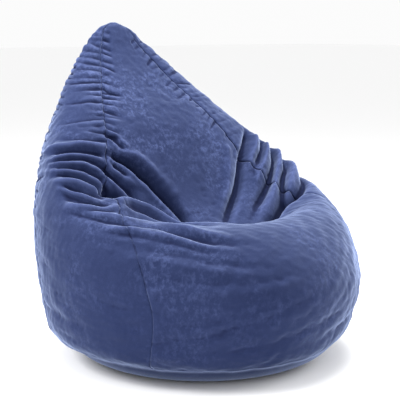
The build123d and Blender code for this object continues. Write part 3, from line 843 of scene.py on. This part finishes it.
# ---------- Zip: coils and stitching along the back's arc
COIL_PITCH = 2.2
COIL_WIRE = 0.42        # radius of the coils' wire
COIL_HEIGHT = 2.6
COIL_STEPS = 10         # points per turn
BACK_CENTRE = BACK_Y - BACK_RADIUS
STITCH = 3.2
STITCH_GAP = 1.1
STITCH_FROM_EDGE = 4.5
STITCH_ARCH = (         # share of the way along a stitch, and height above the fabric
    (0, -0.3), (0.12, 0.15), (0.5, 0.3), (0.88, 0.15), (1, -0.3),
)
THREAD = 0.35           # radius of the thread
TAPE_WEAVE = 0.0007     # pitch of the weave, in metres
STOP_EDGE = 0.0004      # widths of the eased edges, in metres
SLIDER_EDGE = 0.0005


def tube(name, routes, radius):
    """Mesh of round threads of this radius in metres along each route of points."""
    data = bpy.data.curves.new(name, "CURVE")
    data.dimensions = "3D"
    data.bevel_depth = radius
    data.bevel_resolution = 1
    data.use_fill_caps = True
    for route in routes:
        line = data.splines.new("POLY")
        line.points.add(len(route) - 1)
        for point, place in zip(line.points, route):
            point.co = (*place, 1)
    curve = linked("curve_" + name, data)
    mesh = bpy.data.meshes.new_from_object(curve.evaluated_get(bpy.context.evaluated_depsgraph_get()))
    bpy.data.objects.remove(curve)
    mesh.name = name
    mesh.shade_smooth()
    mesh.materials.clear()
    return linked(name, mesh)


def on_back(x, turn, radius):
    """Point at this angle from level on the back's arc, at this radius; lengths in metres."""
    return x, BACK_CENTRE * MM + radius * math.cos(turn), BACK_Z * MM + radius * math.sin(turn)


def arc_span(node_name):
    """Outer radius of a zip node on the back's arc, and the angles of its two ends."""
    low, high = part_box(node_name)
    radius = high.y - BACK_CENTRE * MM
    return radius, math.asin((low.z - BACK_Z * MM) / radius), math.asin((high.z - BACK_Z * MM) / radius)


def coil_piece(node_name, material):
    """A nylon coil wound along the arc that the CAD node spans."""
    low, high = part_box(node_name)
    outer, start, end = arc_span(node_name)
    middle_x = (low.x + high.x) / 2
    side = math.copysign(1, middle_x)
    half_x = (high.x - low.x) / 2 - COIL_WIRE * MM
    radius = outer - COIL_HEIGHT * MM / 2
    turns = (end - start) * radius / (COIL_PITCH * MM)
    route = []
    for step in range(int(turns * COIL_STEPS) + 1):
        wound = step / COIL_STEPS
        phase = 2 * math.pi * wound
        lift = (COIL_HEIGHT / 2 - COIL_WIRE) * MM * math.sin(phase) * side
        along = start + (end - start) * wound / turns
        route.append(on_back(middle_x + half_x * math.cos(phase), along, radius + lift))
    piece = tube("visual_" + node_name, [route], COIL_WIRE * MM)
    piece.data.materials.append(material)
    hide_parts(node_name)
    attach(piece, "bag")


def zip_stitching(material):
    """A row of lockstitch on each turned-back edge, which holds the tape underneath."""
    start = math.asin((SLOT_LOW - BACK_Z) / BACK_RADIUS)
    end = math.asin((SLOT_HIGH - BACK_Z) / BACK_RADIUS)
    pitch = (STITCH + STITCH_GAP) / BACK_RADIUS
    count = int((end - start) / pitch)
    routes = []
    for side in (-1, 1):
        x = side * (SLOT_HALF_WIDTH + STITCH_FROM_EDGE) * MM
        for index in range(count):
            first = start + (index + 0.5) * pitch
            routes.append([on_back(x, first + share * STITCH / BACK_RADIUS, (BACK_RADIUS + lift) * MM)
                           for share, lift in STITCH_ARCH])
    piece = tube("cover_zip_stitching", routes, THREAD * MM)
    piece.data.materials.append(material)
    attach(piece, "bag")


def refinish(node_name, material, bevel=0.0):
    """Better material on a CAD node, and its edges eased by the bevel, in metres."""
    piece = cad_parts[node_name]
    for slot in piece.material_slots:
        slot.material = material
    if bevel:
        modifier = piece.modifiers.new("eased edges", "BEVEL")
        modifier.width = bevel
        modifier.segments = 2
        modifier.limit_method = "ANGLE"


def zips():
    """Looks of both zips: the cover's is blue and the liner's is white."""
    blue_tape = woven("cover_zip_tape_weave", (0.012, 0.016, 0.05, 1), (0.04, 0.05, 0.13, 1), TAPE_WEAVE)
    white_tape = woven("liner_zip_tape_weave", (0.40, 0.40, 0.40, 1), (0.72, 0.72, 0.71, 1), TAPE_WEAVE)
    blue_coil = nylon("cover_coil_nylon", (0.014, 0.019, 0.06, 1), (0.06, 0.07, 0.14, 1))
    white_coil = nylon("liner_coil_nylon", (0.62, 0.62, 0.62, 1), (0.45, 0.45, 0.44, 1))
    stop = metal("stop_aluminium", (0.30, 0.31, 0.33, 1), (0.44, 0.45, 0.47, 1), 0.42)
    slider = metal("enamelled_zinc", (0.05, 0.055, 0.09, 1), (0.30, 0.31, 0.34, 1), 0.38)
    for cover, tape, coil in (("cover", blue_tape, blue_coil), ("liner", white_tape, white_coil)):
        for side in ("left", "right"):
            refinish(cover + "_zip_tape_" + side, tape)
            name = cover + "_zip_coil"
            coil_piece(name + "_" + side, coil)
        refinish(cover + "_zip_low_stop", stop, STOP_EDGE)
        refinish(cover + "_zip_high_stops", stop, STOP_EDGE)
        refinish(cover + "_zip_slider", slider, SLIDER_EDGE)
    refinish("cover_zip_pull_tab", slider, STOP_EDGE)
    zip_stitching(nylon("stitch_thread", (0.035, 0.045, 0.12, 1), (0.09, 0.10, 0.2, 1)))


# ---------- Materials
class Paint:
    """A procedural material and short ways to add and link its nodes."""

    def __init__(self, name, roughness, specular):
        self.material = bpy.data.materials.new(name)
        self.material.use_nodes = True
        self.tree = self.material.node_tree
        self.shader = self.tree.nodes["Principled BSDF"]
        self.set("Roughness", roughness)
        self.set("Specular IOR Level", specular)
        self.place = self.tree.nodes.new("ShaderNodeTexCoord").outputs["Object"]

    def set(self, socket, value):
        """Constant value of the shader's socket."""
        self.shader.inputs[socket].default_value = value

    def link(self, source, socket):
        """Source wired to the shader's socket."""
        self.tree.links.new(source, self.shader.inputs[socket])

    def node(self, kind, links=None, **values):
        """New node with these inputs wired or set; an underscore stands for a space in an input's name."""
        made = self.tree.nodes.new(kind)
        for key, value in values.items():
            made.inputs[key.replace("_", " ")].default_value = value
        for key, source in (links or {}).items():
            self.tree.links.new(source, made.inputs[key])
        return made

    def noise(self, scale, detail, roughness, distortion=0.0, stretch=(1, 1, 1)):
        """Noise with this many cycles to a metre."""
        mapping = self.node("ShaderNodeMapping", {"Vector": self.place}, Scale=stretch)
        texture = self.node("ShaderNodeTexNoise", {"Vector": mapping.outputs["Vector"]}, Scale=scale,
                            Detail=detail, Roughness=roughness, Distortion=distortion)
        return texture.outputs["Fac"]

    def height(self):
        """Height above the floor at rest, in metres."""
        return self.node("ShaderNodeSeparateXYZ", {"Vector": self.place}).outputs["Z"]

    def span(self, value, low, high, start=0.0, end=1.0):
        """Value remapped so that low..high becomes start..end, and held beyond."""
        return self.node("ShaderNodeMapRange", {"Value": value}, From_Min=low, From_Max=high,
                         To_Min=start, To_Max=end).outputs["Result"]

    def sum(self, *terms):
        """Sum of values, given as (value, factor) pairs."""
        total = None
        for value, factor in terms:
            step = self.node("ShaderNodeMath", {0: value})
            step.operation = "MULTIPLY_ADD"
            step.inputs[1].default_value = factor
            step.inputs[2].default_value = 0
            if total is not None:
                self.tree.links.new(total, step.inputs[2])
            total = step.outputs["Value"]
        return total

    def product(self, first, second):
        """Product of two values."""
        step = self.node("ShaderNodeMath", {0: first, 1: second})
        step.operation = "MULTIPLY"
        return step.outputs["Value"]

    def blend(self, factor, first, second):
        """Colour between two colours, each a constant or another node's output."""
        mix = self.tree.nodes.new("ShaderNodeMix")
        mix.data_type = "RGBA"
        self.tree.links.new(factor, mix.inputs["Factor"])
        for socket, colour in (("A", first), ("B", second)):
            target = [i for i in mix.inputs if i.name == socket and i.type == "RGBA"][0]
            if isinstance(colour, tuple):
                target.default_value = colour
            else:
                self.tree.links.new(colour, target)
        return [o for o in mix.outputs if o.type == "RGBA"][0]

    def bump(self, height, strength, distance):
        """Bumps of the shader's surface, up to this distance in metres."""
        made = self.node("ShaderNodeBump", {"Height": height}, Strength=strength, Distance=distance)
        self.link(made.outputs["Normal"], "Normal")


def microsuede(name, deep, base, light, scuffs=0.0):
    """Short crushed nap: fine streaks, patches brushed the other way, and paler ridges that are worn nap
    and a painted highlight on the crests, all of them fainter low down as painted shade on the lower body;
    the valleys get painted shade, blended towards the deep colour."""
    paint = Paint(name, 0.92, 0.12)
    paint.set("Sheen Roughness", 0.34)
    paint.set("Sheen Tint", (0.54, 0.66, 1.0, 1))
    streaks = paint.noise(90, 8, 0.74, 0.25, (1, 1, 0.7))
    flecks = paint.noise(360, 4, 0.7, 0.2)
    patches = paint.noise(5.5, 4, 0.62, 0.5)
    tone = paint.noise(2.2, 2, 0.5)
    fibre = paint.noise(1400, 2, 0.6)
    ridge = paint.tree.nodes.new("ShaderNodeAttribute")
    ridge.attribute_name = "ridge"
    brushed = paint.span(patches, 0.47, 0.60, 0.15, 1.0)
    crushed = paint.product(brushed, paint.span(streaks, 0.47, 0.60))
    # paler ridges: worn nap and a painted highlight on the crests
    worn = paint.span(ridge.outputs["Fac"], 0.25, 1.0)
    # painted shade in the valleys, where a point lies below those around it
    sunk = paint.span(ridge.outputs["Fac"], -0.15, -1.0)
    # painted shade on the lower body: the paler nap fades out low down, so it shows darker
    painted_shade_low_down = paint.span(paint.height(), 0.16, 0.58, 0.42, 1.08)
    # these include the painted highlight on the ridges
    marks_and_ridge_highlights = paint.sum((crushed, 0.40), (worn, 0.30), (paint.span(flecks, 0.5, 0.75), 0.16),
                      (paint.span(tone, 0.35, 0.65), 0.14 + scuffs))
    lift = paint.product(marks_and_ridge_highlights, painted_shade_low_down)
    # painted shade: deep valleys are blended towards the deep colour
    painted_valley_shade = paint.product(sunk, paint.span(streaks, 0.2, 0.5, 0.5, 1.0))
    paint.link(paint.blend(painted_valley_shade, paint.blend(lift, base, light), deep), "Base Color")
    paint.link(paint.span(lift, 0, 0.8, 0.96, 0.80), "Roughness")
    paint.link(paint.span(ridge.outputs["Fac"], -0.60, -0.14, 0.08, 0.75), "Sheen Weight")
    paint.bump(paint.sum((streaks, 0.55), (flecks, 0.3), (fibre, 0.15)), 0.4, 0.0011)
    return paint.material


def woven(name, dark, light, pitch):
    """Plain weave with this pitch in metres, from threads along two crossing directions."""
    paint = Paint(name, 0.85, 0.2)
    threads = []
    for turn in ((0, 0, 0), (0, math.radians(90), 0)):
        mapping = paint.node("ShaderNodeMapping", {"Vector": paint.place}, Rotation=turn)
        wave = paint.node("ShaderNodeTexWave", {"Vector": mapping.outputs["Vector"]},
                          Scale=0.5 / pitch, Distortion=0.6, Detail=1.0)
        threads.append(wave.outputs["Fac"])
    weave = paint.product(threads[0], threads[1])
    slub = paint.noise(180, 4, 0.6, 0.3)
    shade = paint.sum((weave, 0.6), (slub, 0.5))
    paint.link(paint.blend(shade, dark, light), "Base Color")
    paint.link(paint.span(slub, 0.3, 0.7, 0.85, 0.95), "Roughness")
    paint.bump(weave, 0.5, pitch / 4)
    return paint.material


def beads():
    """Expanded polystyrene beads 3 to 5 mm across."""
    paint = Paint("white_beads", 0.55, 0.3)
    cells = paint.node("ShaderNodeTexVoronoi", {"Vector": paint.place}, Scale=250.0)
    # painted shade: white at each bead's middle, greying out to the gaps between beads
    shade = paint.span(cells.outputs["Distance"], 0.0, 0.6)
    paint.link(paint.blend(shade, (0.86, 0.86, 0.85, 1), (0.45, 0.46, 0.48, 1)), "Base Color")
    paint.bump(paint.span(cells.outputs["Distance"], 0.0, 0.6, 1.0, 0.0), 0.8, 0.0015)
    return paint.material


def nylon(name, colour, dusty):
    """Extruded monofilament, a little dusty in places."""
    paint = Paint(name, 0.32, 0.5)
    dust = paint.noise(260, 4, 0.6)
    paint.link(paint.blend(paint.span(dust, 0.45, 0.75, 0.0, 0.5), colour, dusty), "Base Color")
    paint.link(paint.span(dust, 0.3, 0.7, 0.26, 0.5), "Roughness")
    paint.bump(dust, 0.15, 0.0002)
    return paint.material


def metal(name, colour, worn, roughness):
    """Cast zinc or stamped aluminium with a brushed finish that wears bright."""
    paint = Paint(name, roughness, 0.5)
    paint.set("Metallic", 0.9)
    grain = paint.noise(520, 3, 0.5, 0.2, (1, 1, 0.12))
    rubs = paint.noise(420, 5, 0.7, 0.2)
    paint.link(paint.blend(paint.span(rubs, 0.55, 0.85, 0.0, 0.7), colour, worn), "Base Color")
    paint.link(paint.sum((grain, 0.25), (rubs, roughness * 0.8)), "Roughness")
    paint.bump(grain, 0.12, 0.0001)
    return paint.material


# ---------- Stage, light and camera
FLOOR_TONE = (0.96, 0.96, 0.96, 1)
FLOOR_HALF = 40         # half the floor's side, and how far it lies under the base, in metres
FLOOR_DROP = 0.0005
SKY_STRENGTH = 0.97
LIGHTS = (              # name, place, height aimed at, side, power
    ("overhead", (0.4, 0.1, 3.0), 0.4, 1.8, 128),
    ("side", (2.4, -0.9, 1.3), 0.4, 1.2, 36),
    ("other_side", (-2.4, 0.9, 2.1), 0.6, 1.2, 92),
)


def area_light(name, place, aim, size, power):
    """Square lamp that points at this height above the middle of the floor."""
    data = bpy.data.lights.new(name, "AREA")
    data.shape = "SQUARE"
    data.size = size
    data.energy = power
    lamp = linked(name, data)
    lamp.location = place
    lamp.rotation_euler = (Vector((0, 0, aim)) - Vector(place)).to_track_quat("-Z", "Y").to_euler()


def studio():
    """Pale floor, white sky and lamps."""
    corners = [(-FLOOR_HALF, -FLOOR_HALF), (FLOOR_HALF, -FLOOR_HALF),
               (FLOOR_HALF, FLOOR_HALF), (-FLOOR_HALF, FLOOR_HALF)]
    floor = mesh_of("floor", np.array([(x, y, -FLOOR_DROP) for x, y in corners]), [[0, 1, 2, 3]])
    paint = Paint("pale_floor", 0.85, 0.1)
    paint.set("Base Color", FLOOR_TONE)
    floor.data.materials.append(paint.material)
    world = bpy.data.worlds.new("studio")
    world.use_nodes = True
    sky = world.node_tree.nodes["Background"]
    sky.inputs["Color"].default_value = (1, 1, 1, 1)
    sky.inputs["Strength"].default_value = SKY_STRENGTH
    bpy.context.scene.world = world
    for light in LIGHTS:
        area_light(*light)
    bpy.context.scene.view_settings.view_transform = "Standard"


# The photograph's view; azimuth, elevation and distance were fitted to its outline with the hoops
CAMERA_AZIMUTH = -39.2
CAMERA_ELEVATION = 8.7
CAMERA_DISTANCE = 3.188
CAMERA_LENS = 99.6      # focal length, for a sensor of this width, in millimetres
SENSOR_WIDTH = 36
CAMERA_SHIFT = (0.005, -0.0116)     # of the picture, as shares of its width
AIM_HEIGHT = 0.45


def camera():
    """Camera of the main view, which looks slightly down at the middle of the bag."""
    data = bpy.data.cameras.new("camera")
    data.lens = CAMERA_LENS
    data.sensor_width = SENSOR_WIDTH
    turn, rise = math.radians(CAMERA_AZIMUTH), math.radians(CAMERA_ELEVATION)
    back = Vector((math.sin(turn) * math.cos(rise), -math.cos(turn) * math.cos(rise), math.sin(rise)))
    lens = linked("camera", data)
    lens.location = Vector((0, 0, AIM_HEIGHT)) + back * CAMERA_DISTANCE
    lens.rotation_euler = (-back).to_track_quat("-Z", "Y").to_euler()
    data.shift_x, data.shift_y = CAMERA_SHIFT
    bpy.context.scene.camera = lens


def main():
    """All the pieces with their materials, then the stage."""
    surface, seams, base, sunk = cover_surface()
    # the first colour of each suede is the painted shade of its valleys
    suede = microsuede("cover_microsuede", (0.007, 0.011, 0.040, 1), (0.013, 0.021, 0.066, 1),
                       (0.076, 0.103, 0.240, 1))
    base_suede = microsuede("base_microsuede", (0.007, 0.011, 0.038, 1), (0.012, 0.019, 0.060, 1),
                            (0.078, 0.102, 0.220, 1), 0.2)
    gore_pieces(surface, seams, base, suede)
    base_piece("cover_base_panel", surface[-1], 0, COVER_THICKNESS, base_suede)
    cotton = woven("liner_cotton", (0.42, 0.42, 0.41, 1), (0.74, 0.74, 0.72, 1), 0.0012)
    liner = liner_pieces(base, sunk, [seam // FINER for seam in seams], cotton)
    base_piece("liner_base_panel", liner[-1], LINER_DEPTH, LINER_THICKNESS, cotton)
    fill_piece(base, sunk, beads())
    zips()
    studio()
    camera()


main()
